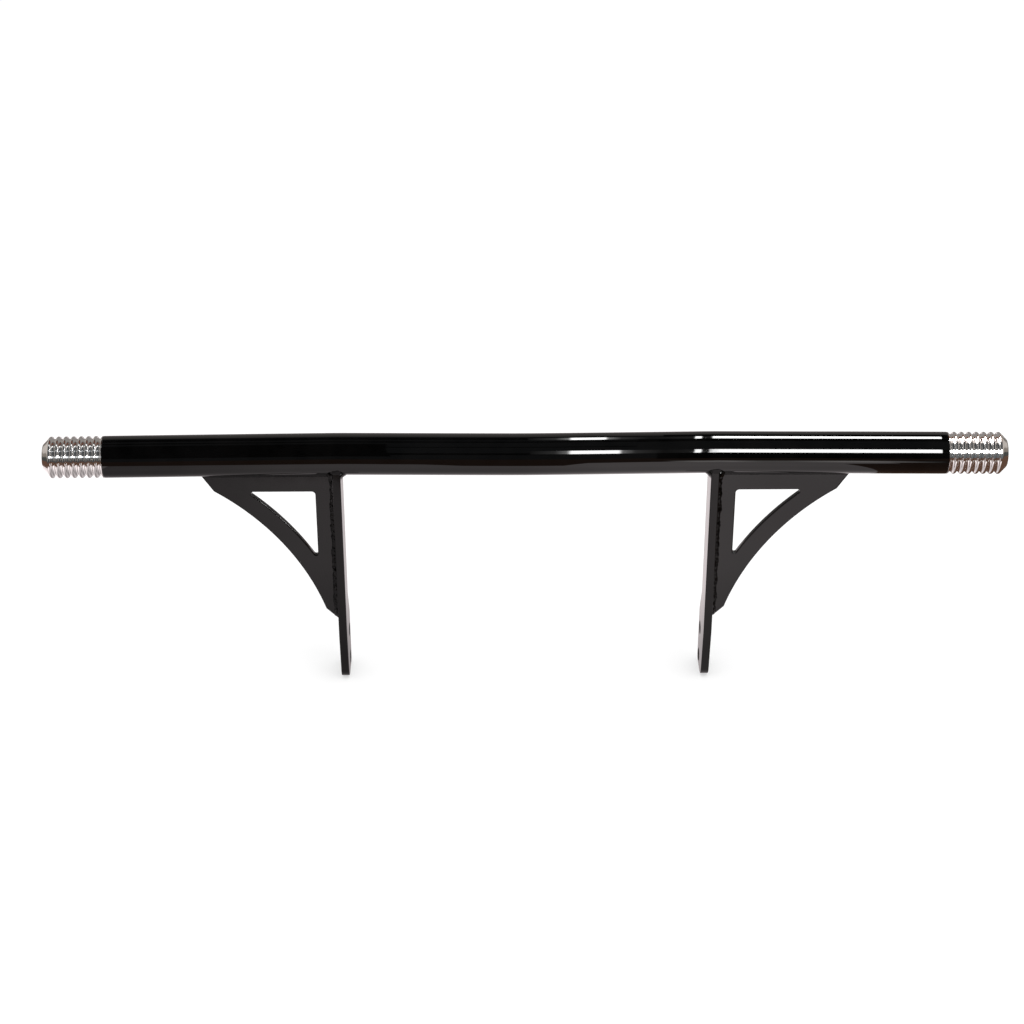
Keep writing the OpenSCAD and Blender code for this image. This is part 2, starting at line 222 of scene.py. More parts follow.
def finish_piece(name, verts, faces, material, slot, body, sharp_deg=35.0, even_normals=False):
    """Makes a smooth-shaded piece from vertices in the row frame and sets it on its body."""
    mesh = bpy.data.meshes.new(name)
    mesh.from_pydata([tuple(v) for v in verts], [], faces)
    work = bmesh.new()
    work.from_mesh(mesh)
    bmesh.ops.remove_doubles(work, verts=work.verts, dist=MERGE_DISTANCE)
    bmesh.ops.recalc_face_normals(work, faces=work.faces)
    work.to_mesh(mesh)
    work.free()
    mesh.shade_smooth()
    mesh.set_sharp_from_angle(angle=math.radians(sharp_deg))
    mesh.materials.append(material)
    piece = bpy.data.objects.new(name, mesh)
    bpy.context.scene.collection.objects.link(piece)
    if even_normals:
        weighted = piece.modifiers.new("even_normals", "WEIGHTED_NORMAL")
        weighted.keep_sharp = True
        weighted.weight = FLAT_FACE_WEIGHT
    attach(piece, body)
    return piece


def ring_faces(first, second, count):
    """Quads between two closed rings of count vertices that start at the given indices."""
    return [(first + i, first + (i + 1) % count, second + (i + 1) % count, second + i)
            for i in range(count)]


def skin(rings, closed=False):
    """Vertices and faces of a surface through rings of equal length. closed joins the last to the first;
    otherwise both ends are capped."""
    count = len(rings[0])
    verts = [v for ring in rings for v in ring]
    faces = []
    for k in range(len(rings) - 1):
        faces += ring_faces(k * count, (k + 1) * count, count)
    if closed:
        faces += ring_faces((len(rings) - 1) * count, 0, count)
    else:
        faces.append(tuple(range(count)))
        faces.append(tuple(range(len(verts) - count, len(verts))))
    return verts, faces


# ---------------------------------------------------------------- tube
def tube_ring(x, radius, count):
    """A ring square to the tube's centre line where that passes x."""
    step = 0.1 * MM
    run = Vector((2 * step, centre_y(x + step) - centre_y(x - step), 0)).normalized()
    side = Vector((0, 0, 1)).cross(run)
    centre = Vector((x, centre_y(x), TUBE_Z))
    return [centre + side * (radius * math.cos(a)) + Vector((0, 0, radius * math.sin(a)))
            for a in (2 * math.pi * i / count for i in range(count))]


def tube_stations(end_x):
    """Stations along the tube, close together at the bends and wider on the straight runs."""
    bend_reach, fine_step, coarse_step = 30 * MM, 1.5 * MM, 6.0 * MM
    places, x = [], -end_x
    while x < end_x:
        places.append(x)
        from_bend = min(abs(x), abs(abs(x) - BEND_X))
        x += fine_step if from_bend < bend_reach else coarse_step
    return places + [end_x]


def build_tube():
    """The hollow tube with its bends and a rounded lip at each end."""
    count, lip_steps = 160, 6
    inner_r = TUBE_R - TUBE_WALL
    end_x = end_point.x
    outer = [tube_ring(x, TUBE_R, count) for x in tube_stations(end_x - TUBE_LIP)]
    inner = [tube_ring(x, inner_r, count) for x in tube_stations(end_x)]
    right_lip = []
    for k in range(1, lip_steps + 1):
        a = math.pi / 2 * k / lip_steps
        right_lip.append((end_x - TUBE_LIP + TUBE_LIP * math.sin(a),
                          TUBE_R - TUBE_LIP + TUBE_LIP * math.cos(a)))
    right = [tube_ring(x, r, count) for x, r in right_lip]
    left = [tube_ring(-x, r, count) for x, r in reversed(right_lip)]
    verts, faces = skin(left + outer + right + inner[::-1], closed=True)
    tube = finish_piece("tube_skin", verts, faces, tube_coat, "gloss_black_coat", BAR)
    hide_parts("main_tube")


build_tube()


# ---------------------------------------------------------------- plates and gussets
PLATE_EDGE_R = 0.7 * MM
GUSSET_EDGE_R = 0.95 * MM


def outline_loops(node_name, axis, at_high):
    """The closed edge loops of a CAD node's flat face across an axis, as lists of points."""
    mesh = frame["nodes"][node_name].data
    low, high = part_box(node_name)
    level = high[axis] if at_high else low[axis]
    on_face = [p for p in mesh.polygons
               if all(abs(mesh.vertices[v].co[axis] - level) < 2 * MICRON for v in p.vertices)]
    key_of, points = {}, []

    def key(vertex):
        co = mesh.vertices[vertex].co
        name = tuple(round(part / MICRON) for part in co)
        if name not in key_of:
            key_of[name] = len(points)
            points.append(co.copy())
        return key_of[name]

    after, used = {}, {}
    for polygon in on_face:
        ids = [key(v) for v in polygon.vertices]
        for a, b in zip(ids, ids[1:] + ids[:1]):
            used[(a, b)] = True
    for a, b in used:
        if (b, a) not in used:
            after[a] = b
    loops = []
    while after:
        start = next(iter(after))
        loop, at = [], start
        while at in after:
            loop.append(points[at])
            at = after.pop(at)
        loops.append(loop)
    return loops


def flat(loop, axis):
    """A loop's points in the two other axes, kept in X, Y, Z order."""
    u, v = [i for i in range(3) if i != axis]
    return [Vector((p[u], p[v])) for p in loop]


def area_of(loop):
    """The loop's area, positive where it turns left."""
    return sum(a.x * b.y - b.x * a.y for a, b in zip(loop, loop[1:] + loop[:1])) / 2


def without_straights(loop, least=0.02 * MM):
    """The loop without doubled points and points on a straight line."""
    kept = []
    for i, p in enumerate(loop):
        before, after = loop[i - 1], loop[(i + 1) % len(loop)]
        span = after - before
        if (p - before).length < least or span.length < least:
            continue
        off = abs((p - before).x * span.y - (p - before).y * span.x) / span.length
        if off > MICRON:
            kept.append(p)
    return kept


def inset(loop, distance):
    """The loop moved to its left by a distance, which is inwards for an outer loop turning left. How far
    a sharp corner may run is held back by sharpest."""
    sharpest = 0.35
    moved = []
    for i, p in enumerate(loop):
        before, after = (p - loop[i - 1]).normalized(), (loop[(i + 1) % len(loop)] - p).normalized()
        left_a, left_b = Vector((-before.y, before.x)), Vector((-after.y, after.x))
        moved.append(p + (left_a + left_b) * (distance / max(sharpest, 1 + left_a.dot(left_b))))
    return moved


def sheet_metal(name, loops, axis, low, high, edge_r, material, slot, replaced):
    """A flat cut piece with rounded edges. The first loop is the outside; the rest are openings."""
    steps = 4
    u, v = [i for i in range(3) if i != axis]

    def lift(point, level):
        made = Vector((0, 0, 0))
        made[u], made[v], made[axis] = point.x, point.y, level
        return made

    loops = [loop if (area_of(loop) > 0) == (i == 0) else loop[::-1] for i, loop in enumerate(loops)]
    profile = [(edge_r * (1 - math.sin(a)), high - edge_r * (1 - math.cos(a)))
               for a in (math.pi / 2 * k / steps for k in range(steps + 1))]
    profile += [(d, low + high - level) for d, level in reversed(profile)]
    verts, faces, top, bottom = [], [], [], []
    for loop in loops:
        count = len(loop)
        start = len(verts)
        for distance, level in profile:
            verts += [lift(p, level) for p in inset(loop, distance)]
        for k in range(len(profile) - 1):
            faces += ring_faces(start + k * count, start + (k + 1) * count, count)
        top += list(range(start, start + count))
        last = start + (len(profile) - 1) * count
        bottom += list(range(last, last + count))
    rims = [[Vector((p.x, p.y, 0)) for p in inset(loop, profile[0][0])] for loop in loops]
    for a, b, c in tessellate_polygon(rims):
        faces.append((top[a], top[b], top[c]))
        faces.append((bottom[c], bottom[b], bottom[a]))
    piece = finish_piece(name, verts, faces, material, slot, BAR, even_normals=True)
    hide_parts(replaced)


def circle_loop(centre, radius, count=48):
    """A circle that turns right, as an opening does."""
    return [centre + Vector((math.cos(a), math.sin(a))) * radius
            for a in (-2 * math.pi * i / count for i in range(count))]


def build_plate(side, sign):
    """A leg: the outline is the CAD node's, and the bolt holes are where the mount says."""
    name = f"{side}_mount_plate"
    low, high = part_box(name)
    loops = [without_straights(flat(loop, 0)) for loop in outline_loops(name, 0, sign < 0)]
    outer = max(loops, key=lambda loop: abs(area_of(loop)))
    pattern = mounts[f"{side}_bolt_holes"]
    middle = Vector((pattern["pos_m"][1], pattern["pos_m"][2]))
    spacing = pattern["dims"]["spacing_y_mm"] * MM
    radius = pattern["dims"]["hole_r_mm"] * MM
    holes = [circle_loop(middle + Vector((0, spacing * (i - 0.5))), radius) for i in range(2)]
    sheet_metal(f"{side}_leg", [outer] + holes, 0, low.x, high.x, PLATE_EDGE_R, leg_coat,
                "gloss_black_coat", name)


def build_gusset(side):
    """A gusset: the CAD node's outline and its one cut-out."""
    name = f"{side}_gusset"
    low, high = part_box(name)
    loops = [without_straights(flat(loop, 1)) for loop in outline_loops(name, 1, False)]
    loops.sort(key=lambda loop: -abs(area_of(loop)))
    sheet_metal(f"{side}_bracket", loops[:2], 1, low.y, high.y, GUSSET_EDGE_R, plate_coat,
                "gloss_black_coat", name)


for side, sign in SIDES.items():
    build_plate(side, sign)
    build_gusset(side)


# ---------------------------------------------------------------- weld beads
PLATE_WELD = 4.4 * MM
GUSSET_WELD = 3.4 * MM
WELD_PITCH = 2.1 * MM
EDGE_WELD = PLATE_WELD * 0.6
WELD_STEP = 0.22 * MM
WELD_SHARP_DEG = 60
# How often a bead's pitch drifts and its size wanders, slowly and quickly, per metre.
PITCH_DRIFT, SLOW_WANDER, FAST_WANDER = 300, 140, 430


def bead(path, legs, size, pitch, seed, crown_height=0.16, wander=0.10):
    """A rippled fillet along a path, with rounded ends. legs gives the two surface directions from the root
    at each point, size is the leg length, crown_height is negative for a hollow fillet, wander is its
    unevenness, and seed makes it differ from the other beads. Its root is sunk into the joint."""
    arc = 10
    root_depth, end_round, least_end = 0.25, 0.8, 0.02
    bow, drift_share, fast_share = 0.45, 0.25, 0.8
    ripple_height, ripple_power, ripple_middle, leg_ripple = 0.09, 0.55, 0.6, 0.35
    length = [0.0]
    for a, b in zip(path, path[1:]):
        length.append(length[-1] + (b - a).length)
    total = length[-1]
    rings = []
    for i, root in enumerate(path):
        s = length[i]
        from_end = min(s, total - s)
        cap = math.sqrt(max(least_end, 1 - max(0, 1 - from_end / (size * end_round)) ** 2))
        first, second = legs[i]
        ring = [root - (first + second) * (root_depth * size)]
        for k in range(arc + 1):
            t = k / arc
            crown = math.sin(math.pi * t)
            drift = noise.noise(Vector((s * PITCH_DRIFT, seed, 0)))
            phase = (s + bow * size * crown + drift_share * pitch * drift) / pitch
            ripple = abs(math.sin(math.pi * phase)) ** ripple_power - ripple_middle
            uneven = noise.noise(Vector((s * SLOW_WANDER, seed * 7.3, t * 1.5)))
            uneven += fast_share * noise.noise(Vector((s * FAST_WANDER, seed * 3.7, t * 2.5)))
            reach = size * cap * (1 + ripple_height * ripple * (leg_ripple + crown) + wander * uneven)
            bulge = crown_height * size * cap * crown
            along_legs = first * (1 - t) + second * t
            ring.append(root + along_legs * reach + (first + second).normalized() * bulge)
        rings.append(ring)
    return skin(rings)


def join(parts):
    """One list of vertices and faces from several."""
    verts, faces = [], []
    for part_verts, part_faces in parts:
        start = len(verts)
        verts += part_verts
        faces += [tuple(start + i for i in face) for face in part_faces]
    return verts, faces


def line(start, end):
    """Points from start to end, a weld's step apart."""
    count = max(2, round((end - start).length / WELD_STEP))
    return [start.lerp(end, i / count) for i in range(count + 1)]


def gusset_plate_welds(side, sign):
    """Down both faces of the gusset where it meets the leg."""
    parts = []
    for face in (-1, 1):
        root_x = sign * PLATE_OUT
        root_y = TUBE_Y + face * GUSSET_HALF
        path = line(Vector((root_x, root_y, TUBE_Z - TUBE_R - 1 * MM)),
                    Vector((root_x, root_y, GUSSET_BOTTOM + 2.5 * MM)))
        legs = [(X * sign, Y * face)] * len(path)
        parts.append(bead(path, legs, GUSSET_WELD, WELD_PITCH, 3.1 + sign + 0.37 * face, 0.30, 0.32))
    piece = finish_piece(f"{side}_upright_weld", *join(parts), weld_coat, "coated_weld", BAR, WELD_SHARP_DEG)
    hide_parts(f"{side}_gusset_plate_weld")


def gusset_tube_welds(side, sign):
    """Along the tube the fillet sits between the gusset's face and the tube's curved underside."""
    leg_share = 0.75
    start_x = PLATE_OUT + 1 * MM
    end_x = GUSSET_END - 3 * MM
    parts = []
    for face in (-1, 1):
        path, legs = [], []
        for p in line(Vector((start_x, 0, 0)), Vector((end_x, 0, 0))):
            off = TUBE_Y + face * GUSSET_HALF - centre_y(p.x)
            drop = math.sqrt(TUBE_R ** 2 - off ** 2)
            path.append(Vector((sign * p.x, TUBE_Y + face * GUSSET_HALF, TUBE_Z - drop)))
            reach = off + face * leg_share * GUSSET_WELD
            rise = drop - math.sqrt(TUBE_R ** 2 - reach ** 2)
            round_tube = Vector((0, face * leg_share * GUSSET_WELD, rise)) / GUSSET_WELD
            legs.append((-Z * leg_share, round_tube))
        parts.append(bead(path, legs, GUSSET_WELD, WELD_PITCH, 11.7 + sign + 0.51 * face))
    piece = finish_piece(f"{side}_tube_weld", *join(parts), weld_coat, "coated_weld", BAR, WELD_SHARP_DEG)
    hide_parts(f"{side}_gusset_tube_weld")


def plate_tube_welds(side, sign):
    """A loop round the plate's top: under the tube on both faces, and across its front and back edges."""
    half = (PLATE_BACK - PLATE_FRONT) / 2
    limit = math.asin(half / TUBE_R)
    parts = []
    gusset_a = GUSSET_HALF / TUBE_R
    whole, beside_gusset = ((-limit, limit),), ((-limit, -gusset_a), (gusset_a, limit))
    for root_x, outwards, runs in ((PLATE_IN, -1, whole), (PLATE_OUT, 1, beside_gusset)):
        for low_a, high_a in runs:
            count = max(8, round((high_a - low_a) * TUBE_R / WELD_STEP))
            path, legs = [], []
            for i in range(count + 1):
                a = low_a + (high_a - low_a) * i / count
                down = Vector((0, math.sin(a), -math.cos(a)))
                path.append(Vector((sign * root_x, TUBE_Y, TUBE_Z)) + down * TUBE_R)
                legs.append((X * (sign * outwards), down))
            crown_height, wander = (-0.17, 0.06) if outwards < 0 else (0.10, 0.25)
            parts.append(bead(path, legs, PLATE_WELD, WELD_PITCH, 23.0 + sign + outwards * 0.3 + low_a,
                              crown_height, wander))
    corner_z = TUBE_Z - math.sqrt(TUBE_R ** 2 - half ** 2)
    for edge in (-1, 1):
        y = TUBE_Y + edge * half
        path = line(Vector((sign * (PLATE_IN - 0.4 * MM), y, corner_z)),
                    Vector((sign * (PLATE_OUT + 1.2 * MM), y, corner_z)))
        slope = Vector((0, edge * 0.62, 0.78))
        legs = [(-Z, slope)] * len(path)
        parts.append(bead(path, legs, EDGE_WELD, WELD_PITCH, 31.0 + sign + edge * 0.4, 0.10, 0.35))
    piece = finish_piece(f"{side}_leg_weld", *join(parts), weld_coat, "coated_weld", BAR, WELD_SHARP_DEG)
    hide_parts(f"{side}_plate_weld")


for side, sign in SIDES.items():
    gusset_plate_welds(side, sign)
    gusset_tube_welds(side, sign)
    plate_tube_welds(side, sign)


# ---------------------------------------------------------------- sliders and bolts
def lathe(profile, origin, axis, count, radius_at=None):
    """Rings of a turned shape. profile lists (distance along axis, radius); radius_at(k, angle, radius)
    may change the radius of its point k round the turn."""
    side = Z.cross(axis).normalized()
    up = axis.cross(side)
    rings = []
    for k, (along, radius) in enumerate(profile):
        ring = []
        for i in range(count):
            a = 2 * math.pi * i / count
            r = radius if radius_at is None else radius_at(k, a, radius)
            ring.append(origin + axis * along + (side * math.cos(a) + up * math.sin(a)) * r)
        rings.append(ring)
    return rings


SLIDER_LEN = 45 * MM
SEAT_GAP = 0.05 * MM
BORE_GAP = 0.08 * MM
RIDGES = 7
RIDGE_PITCH = 5.57 * MM
RIDGE_R = 1.575 * MM
GROOVE_DEPTH = 1.775 * MM
GROOVE_R = 1.75 * MM
COUNTERBORE_R = 6.35 * MM
COUNTERBORE_DEPTH = 12 * MM
BOLT_R = 3.97 * MM


def slider_profile():
    """From the seat on the tube, over the ridges and the nose, and back through the counterbore."""
    crest = TUBE_R - RIDGE_R
    hollow = TUBE_R - GROOVE_DEPTH + GROOVE_R
    span = RIDGE_PITCH / 2
    gap = hollow - crest
    meet = math.pi / 2 - math.atan2(gap, span)
    seat_middle_r, seat_rim_r = TUBE_R - GROOVE_DEPTH - 4 * MM, TUBE_R - 0.1 * MM
    points = [(SEAT_GAP, seat_middle_r), (SEAT_GAP, seat_rim_r)]
    steps = 9
    for i in range(RIDGES + 1):
        middle = i * RIDGE_PITCH
        first = 0 if i == 0 else -meet
        last = meet if i < RIDGES else math.pi / 4
        for k in range(steps + 1):
            a = first + (last - first) * k / steps
            along = middle + RIDGE_R * math.sin(a)
            if along > SEAT_GAP + 0.01 * MM:
                points.append((along, crest + RIDGE_R * math.cos(a)))
        if i < RIDGES:
            for k in range(steps + 1):
                a = -meet + 2 * meet * k / steps
                points.append((middle + span + GROOVE_R * math.sin(a), hollow - GROOVE_R * math.cos(a)))
    cone_sum = crest + RIDGES * RIDGE_PITCH + RIDGE_R * math.sqrt(2)
    tip_r = cone_sum - SLIDER_LEN
    soft, mouth_bevel = 0.5 * MM, 0.4 * MM
    cone_from, cone_to = points[-1][0], SLIDER_LEN - soft
    for k in range(1, 6):
        along = cone_from + (cone_to - cone_from) * k / 5
        points.append((along, cone_sum - along))
    points.append((SLIDER_LEN - 0.15 * soft, tip_r))
    points.append((SLIDER_LEN, tip_r - 0.4 * soft))
    points.append((SLIDER_LEN, COUNTERBORE_R + mouth_bevel))
    points.append((SLIDER_LEN - mouth_bevel, COUNTERBORE_R))
    seat = SLIDER_LEN - COUNTERBORE_DEPTH
    points.append((seat, COUNTERBORE_R))
    points.append((seat, BOLT_R + BORE_GAP))
    points.append((SEAT_GAP, BOLT_R + BORE_GAP))
    return points


def end_frame(sign):
    """The middle of a tube end, and the way its slider points."""
    axis = Vector((sign * end_axis.x, end_axis.y, 0)).normalized()
    return Vector((sign * end_point.x, end_point.y, TUBE_Z)), axis


def build_slider(side, sign):
    origin, axis = end_frame(sign)
    verts, faces = skin(lathe(slider_profile(), origin, axis, 192), closed=True)
    piece = finish_piece(f"{side}_ridged_slider", verts, faces, slider_steel, "polished_stainless",
                         f"{side}_slider_body")
    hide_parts(f"{side}_slider")


def build_bolt(side, sign):
    """Socket-head cap screw with a knurled head and a hexagon socket."""
    node_name = f"{side}_slider_bolt"
    origin, axis = end_frame(sign)
    reach = [(v.co - origin).dot(axis) for v in frame["nodes"][node_name].data.vertices]
    top, tip = max(reach), min(reach)
    head_h, head_r = 2 * BOLT_R, 5.95 * MM
    key_flat, key_depth = 3.175 * MM, 4 * MM
    tip_bevel, plain_shank = 0.9 * MM, 26 * MM
    thread_pitch, thread_depth = 1.41 * MM, 0.55 * MM
    knurls, knurl_depth = 40, 0.16 * MM
    base = top - head_h
    profile = [(tip, 0.2 * MM), (tip, BOLT_R - tip_bevel), (tip + tip_bevel, BOLT_R)]
    at = tip + tip_bevel
    while at + thread_pitch < base - plain_shank:
        profile += [(at + 0.35 * thread_pitch, BOLT_R - thread_depth), (at + thread_pitch, BOLT_R)]
        at += thread_pitch
    profile += [(base - 0.3 * MM, BOLT_R), (base, BOLT_R + 0.25 * MM), (base, head_r - 0.3 * MM)]
    knurl_from = len(profile)
    profile += [(base + 0.4 * MM, head_r)]
    profile += [(base + 0.4 * MM + (head_h - 1.5 * MM) * k / 6, head_r) for k in range(1, 7)]
    knurl_to = len(profile)
    profile += [(top - 0.6 * MM, head_r - 0.25 * MM), (top - 0.15 * MM, head_r - 0.75 * MM),
                (top, head_r - 1.1 * MM), (top, key_flat / math.cos(math.pi / 6) + 0.25 * MM)]
    hexagon_from = len(profile)
    profile += [(top - 0.3 * MM, key_flat), (top - key_depth, key_flat),
                (top - key_depth - 0.8 * MM, 0.2 * MM)]

    def radius_at(k, angle, radius):
        if knurl_from <= k < knurl_to:
            return radius - knurl_depth * (1 - abs(math.sin(angle * knurls / 2)))
        if hexagon_from <= k < hexagon_from + 2:
            return radius / math.cos((angle % (math.pi / 3)) - math.pi / 6)
        return radius

    verts, faces = skin(lathe(profile, origin, axis, 240, radius_at))
    piece = finish_piece(f"{side}_cap_screw", verts, faces, bolt_steel, "stainless_bolt",
                         f"{side}_bolt_body")
    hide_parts(node_name)


for side, sign in SIDES.items():
    build_slider(side, sign)
    build_bolt(side, sign)


# ---------------------------------------------------------------- materials of the CAD nodes that stay
def paint(node_name, material):
    mesh = frame["nodes"][node_name].data
    mesh.materials.clear()
    mesh.materials.append(material)


for side in SIDES:
    paint(f"{side}_end_bung", bare_steel)
    paint(f"{side}_bung_weld", weld_steel)
    paint(f"{side}_lock_washer", washer_zinc)


# ---------------------------------------------------------------- studio
# Apart from the floor, the white surround and the area light, everything here is a glowing surface that
# only the object's gloss sees. Where the strips and the papers start, stop and fade was fitted to the
# highlights in the photo.
FLOOR_LEVEL = FOOT_Z - 0.4 * MM
EDGE_LEVEL = FOOT_Z - 0.6 * MM
PAPER_LEVEL = FOOT_Z - 0.8 * MM
TABLE_LEVEL = FOOT_Z - 1.5 * MM
WHITE, COOL_WHITE, WARM_WHITE = (1, 1, 1), (0.93, 0.96, 1.0), (1.0, 0.93, 0.90)
PAPER_WHITE, WARM_BROWN = (1.0, 0.91, 0.92), (1.0, 0.42, 0.26)


def emitter(name, colour):
    """A new material that only glows, its tree and its emission node."""
    material = bpy.data.materials.new(name)
    material.use_nodes = True
    tree = material.node_tree
    tree.nodes.clear()
    glow = tree.nodes.new("ShaderNodeEmission")
    glow.inputs["Color"].default_value = (*colour, 1)
    output = tree.nodes.new("ShaderNodeOutputMaterial")
    tree.links.new(glow.outputs["Emission"], output.inputs["Surface"])
    return material, tree, glow


def even_glow(name, colour, strength):
    """An emitter with one brightness all over."""
    material, _, glow = emitter(name, colour)
    glow.inputs["Strength"].default_value = strength
    return material


def graded(tree, coordinate, stops):
    """A brightness that follows stops of (metres along a coordinate, value), and its scale: a colour ramp
    holds values up to 1, so the values are divided by the largest."""
    first, last = stops[0][0], stops[-1][0]
    top = max(value for _, value in stops)
    place = tree.nodes.new("ShaderNodeTexCoord")
    split = tree.nodes.new("ShaderNodeSeparateXYZ")
    part = tree.nodes.new("ShaderNodeMapRange")
    part.inputs["From Min"].default_value = first
    part.inputs["From Max"].default_value = last
    made = tree.nodes.new("ShaderNodeValToRGB")
    elements = made.color_ramp.elements
    while len(elements) < len(stops):
        elements.new(0.5)
    for element, (at, _) in zip(elements, stops):
        element.position = (at - first) / (last - first)
    for element, (_, value) in zip(elements, stops):
        element.color = (value / top, value / top, value / top, 1)
    tree.links.new(place.outputs["Object"], split.inputs["Vector"])
    tree.links.new(split.outputs[coordinate], part.inputs["Value"])
    tree.links.new(part.outputs["Result"], made.inputs["Fac"])
    return made.outputs["Color"], top


def graded_glow(name, colour, along_x, along_y=None):
    """An emitter whose brightness is graded along X, and along Y if stops for that are given."""
    material, tree, glow = emitter(name, colour)
    level, top = graded(tree, "X", along_x)
    if along_y:
        second, second_top = graded(tree, "Y", along_y)
        product = node(tree, "ShaderNodeMath", operation="MULTIPLY")
        tree.links.new(level, product.inputs[0])
        tree.links.new(second, product.inputs[1])
        level, top = product.outputs["Value"], top * second_top
    scaled = node(tree, "ShaderNodeMath", operation="MULTIPLY")
    scaled.inputs[1].default_value = top
    tree.links.new(level, scaled.inputs[0])
    tree.links.new(scaled.outputs["Value"], glow.inputs["Strength"])
    return material


def stage_sheet(name, corners, faces, material):
    mesh = bpy.data.meshes.new(name)
    mesh.from_pydata(corners, [], faces)
    mesh.materials.append(material)
    sheet = bpy.data.objects.new(name, mesh)
    bpy.context.scene.collection.objects.link(sheet)
    return sheet


def reflected(name, corners, material):
    """A flat sheet with the given corners, seen only in the gloss of the object."""
    faces = [(0, 1, 2, 3)]
    if len(corners) > 4:
        faces = [tuple(face) for face in tessellate_polygon([corners])]
    sheet = stage_sheet(name, corners, faces, material)
    sheet.visible_camera = False
    sheet.visible_diffuse = False
    sheet.visible_shadow = False
    sheet.visible_transmission = False
    sheet.visible_volume_scatter = False
    return sheet


def pale_floor():
    """A plain near-white floor that glows a little, so that shadows on it stay faint."""
    material = bpy.data.materials.new("pale_floor")
    material.use_nodes = True
    shader = material.node_tree.nodes["Principled BSDF"]
    shader.inputs["Base Color"].default_value = (0.45, 0.45, 0.45, 1)
    shader.inputs["Roughness"].default_value = 0.9
    shader.inputs["Specular IOR Level"].default_value = 0.0
    shader.inputs["Emission Color"].default_value = (1, 1, 1, 1)
    shader.inputs["Emission Strength"].default_value = 0.52
    half = 40.0
    corners = [(x, y, FLOOR_LEVEL) for x, y in ((-half, -half), (half, -half), (half, half), (-half, half))]
    floor = stage_sheet("floor", corners, [(0, 1, 2, 3)], material)
    floor.visible_glossy = False


def white_wall():
    """The white paper's rise behind the object."""
    half, back, top = 2.2, 1.6, 0.75
    reflected("white_wall", [(-half, back, PAPER_LEVEL), (half, back, PAPER_LEVEL),
                             (half, back, top), (-half, back, top)],
              even_glow("white_wall", (1.0, 0.93, 0.91), 0.30))


def dark_room():
    """A box of dim walls round everything, with a brown table for its floor."""
    half, base, top = 4.0, TABLE_LEVEL, 4.0
    grey = even_glow("room_grey", (0.9, 0.95, 1.0), 0.07)
    warm = even_glow("room_side", (1.0, 0.93, 0.88), 0.30)
    brown = even_glow("room_table", (1.0, 0.55, 0.38), 0.13)
    corners = ((-half, -half), (half, -half), (half, half), (-half, half))
    sides = (("room_front", 0, 1, grey), ("room_right", 1, 2, warm),
             ("room_back", 2, 3, warm), ("room_left", 3, 0, warm))
    for name, a, b, material in sides:
        reflected(name, [(*corners[a], base), (*corners[b], base), (*corners[b], top), (*corners[a], top)],
                  material)
    reflected("room_top", [(*corner, top) for corner in corners], grey)
    reflected("room_table", [(*corner, base) for corner in corners], brown)


def flat_sheet(name, outline, level, material):
    """A flat polygon that lies on the table."""
    reflected(name, [Vector((x, y, level)) for x, y in outline], material)


def papers():
    """White paper on the table, its bright front edge at the right, and more paper beyond both ends. A
    painted shadow of the tube dims the paper under it.
    """
    outline = [(-0.68, -0.43), (-0.37, -0.43), (-0.10, -0.35), (-0.06, -0.27), (0.045, -0.26),
               (0.08, -0.44), (0.19, -0.50), (0.335, -0.42), (0.335, -0.315), (0.28, -0.28),
               (0.30, 0.07), (0.40, 1.6), (-0.68, 1.6)]
    # Along X the paper's glow is dimmer from -0.39 m to 0 m.
    along_x = [(-1.0, 1.35), (-0.40, 1.35), (-0.39, 0.52), (-0.30, 0.53), (-0.20, 0.75), (0.0, 0.85),
               (0.08, 1.12), (0.16, 1.15), (0.25, 1.0), (0.40, 1.0)]
    # Along Y the glow falls to 0.6 under the tube: a painted shadow of the tube.
    along_y = [(-0.60, 1.1), (-0.20, 1.0), (-0.05, 0.6), (0.03, 0.6), (0.12, 1.0), (0.6, 1.0)]
    flat_sheet("paper_sheet", outline, PAPER_LEVEL, graded_glow("paper_sheet", PAPER_WHITE, along_x, along_y))
    edge_outline = [(0.17, -0.60), (0.45, -0.60), (0.45, -0.39), (0.17, -0.39)]
    edge_along_x = [(0.17, 1.1), (0.19, 2.2), (0.22, 1.2), (0.25, 1.2), (0.30, 2.3), (0.33, 2.3),
                    (0.39, 0.25), (0.45, 0.1)]
    flat_sheet("paper_edge", edge_outline, EDGE_LEVEL,
               graded_glow("paper_edge", (1.0, 0.95, 0.93), edge_along_x))
    near_y, far_y = 0.4, 2.5
    for name, left_x, right_x in (("left_paper", -2.5, -0.72), ("right_paper", 0.72, 2.5)):
        flat_sheet(name, [(left_x, near_y), (right_x, near_y), (right_x, far_y), (left_x, far_y)],
                   PAPER_LEVEL, even_glow(name, (1.0, 0.95, 0.94), 0.7))


def strip_light(name, elevation_deg, half_angle_deg, stops, colour=WHITE, distance=0.2):
    """A softbox parallel to the bar, close to it, at an elevation round the tube from its front."""
    a = math.radians(elevation_deg)
    towards = Vector((0, -math.cos(a), math.sin(a)))
    across = Vector((0, math.sin(a), math.cos(a)))
    half = distance * math.tan(math.radians(half_angle_deg))
    middle = Vector((0, TUBE_Y, TUBE_Z)) + towards * distance
    left, right = stops[0][0], stops[-1][0]
    corners = [middle + X * x + across * (half * s)
               for x, s in ((left, -1), (right, -1), (right, 1), (left, 1))]
    return reflected(name, corners, graded_glow(name, colour, stops))


LAMP_GLOW = 26
SOFT_END = ((0.003, 3.0), (0.014, 0.5), (0.038, 0.1))
HARD_END = ((0.0005, 0.2),)


def lamp_row(*lamps):
    """Stops for lamps in line along a strip. Each is where it starts and stops along X and how its light
    falls off past both ends, as (metres from the end, glow)."""
    stops = []
    for start, end, fall in lamps:
        stops += [(start - past, glow) for past, glow in reversed(fall)]
        stops += [(start, LAMP_GLOW), (end, LAMP_GLOW)]
        stops += [(end + past, glow) for past, glow in fall]
    return stops


